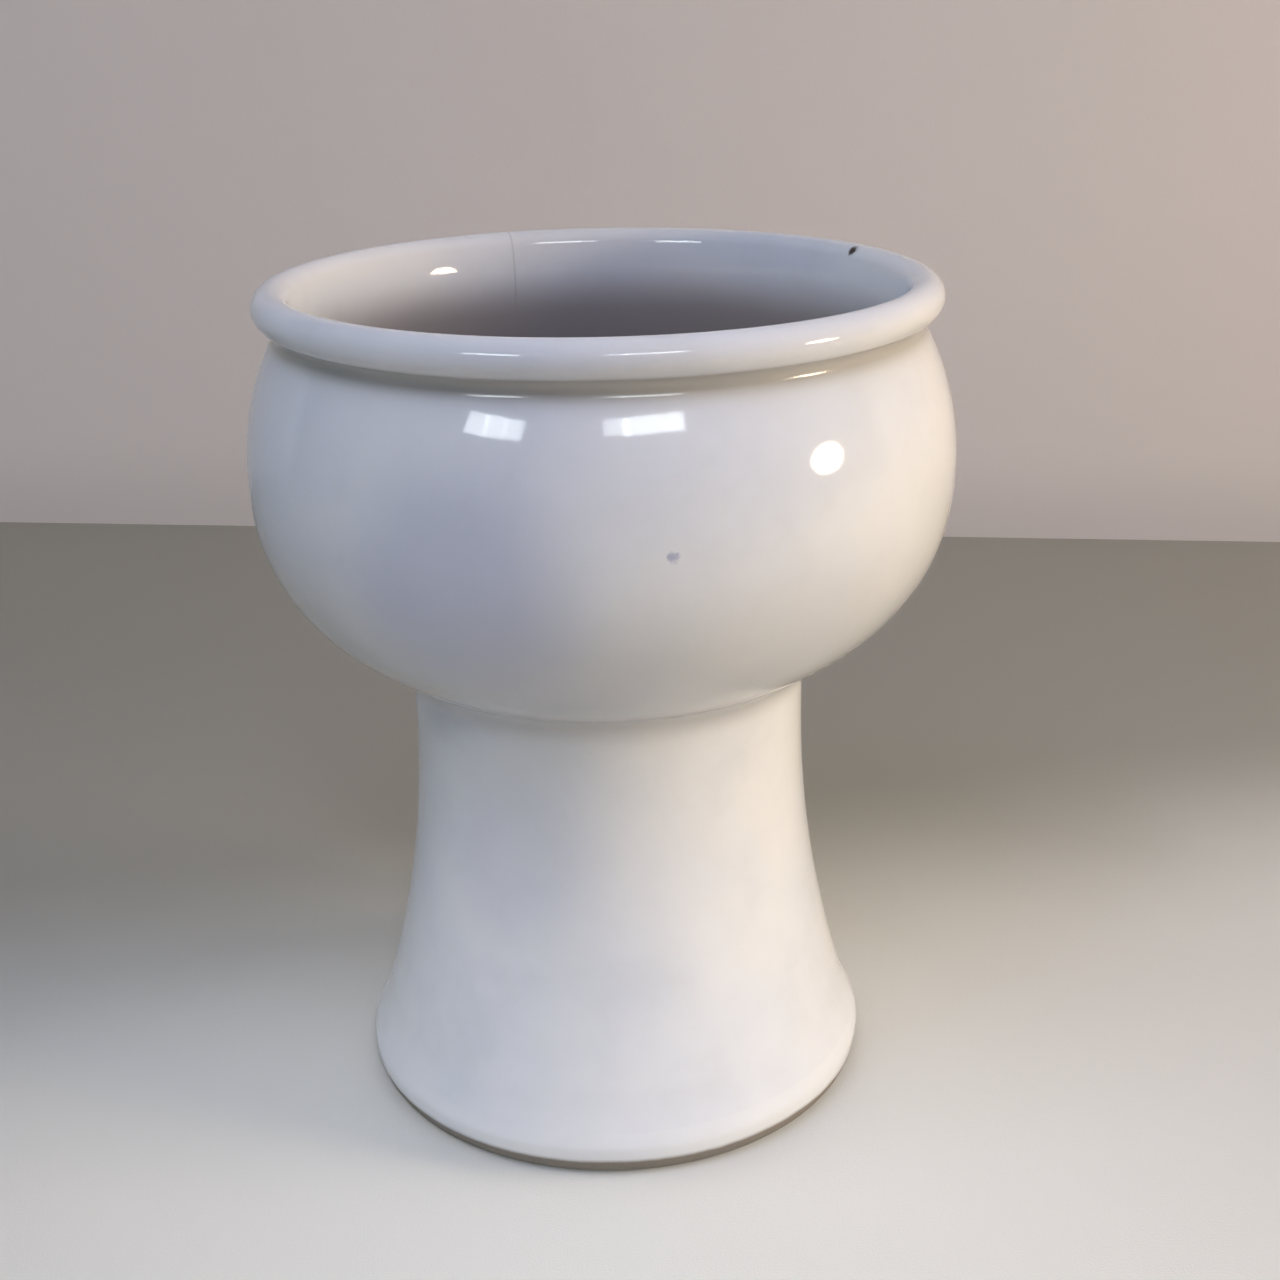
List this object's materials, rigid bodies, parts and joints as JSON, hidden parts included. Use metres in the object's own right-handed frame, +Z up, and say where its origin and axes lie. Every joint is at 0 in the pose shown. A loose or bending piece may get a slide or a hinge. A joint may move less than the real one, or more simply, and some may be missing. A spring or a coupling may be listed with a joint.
{
  "type": "pedestal vase",
  "caption": "White glazed ceramic footed vase: a squat round bowl with a rolled rim, open at the top, on a hollow pedestal that flares to a rounded foot",
  "frame": {"origin": "centre of the standing foot, on the table", "axes": "+Z up along the axis of revolution; X and Y are equivalent"},
  "size_m": [0.1304, 0.1304, 0.1588],
  "materials": {
    "clay": "bare fired buff clay, matt",
    "glaze": "glossy warm white glaze"
  },
  "bodies": {
    "root": {"bowl_body": "clay", "lining_glaze": "glaze", "bowl_glaze": "glaze", "rim_roll": "glaze", "joint_collar": "glaze", "pedestal_body": "clay", "pedestal_glaze": "glaze", "foot_ring": "glaze"}
  },
  "joints": []
}
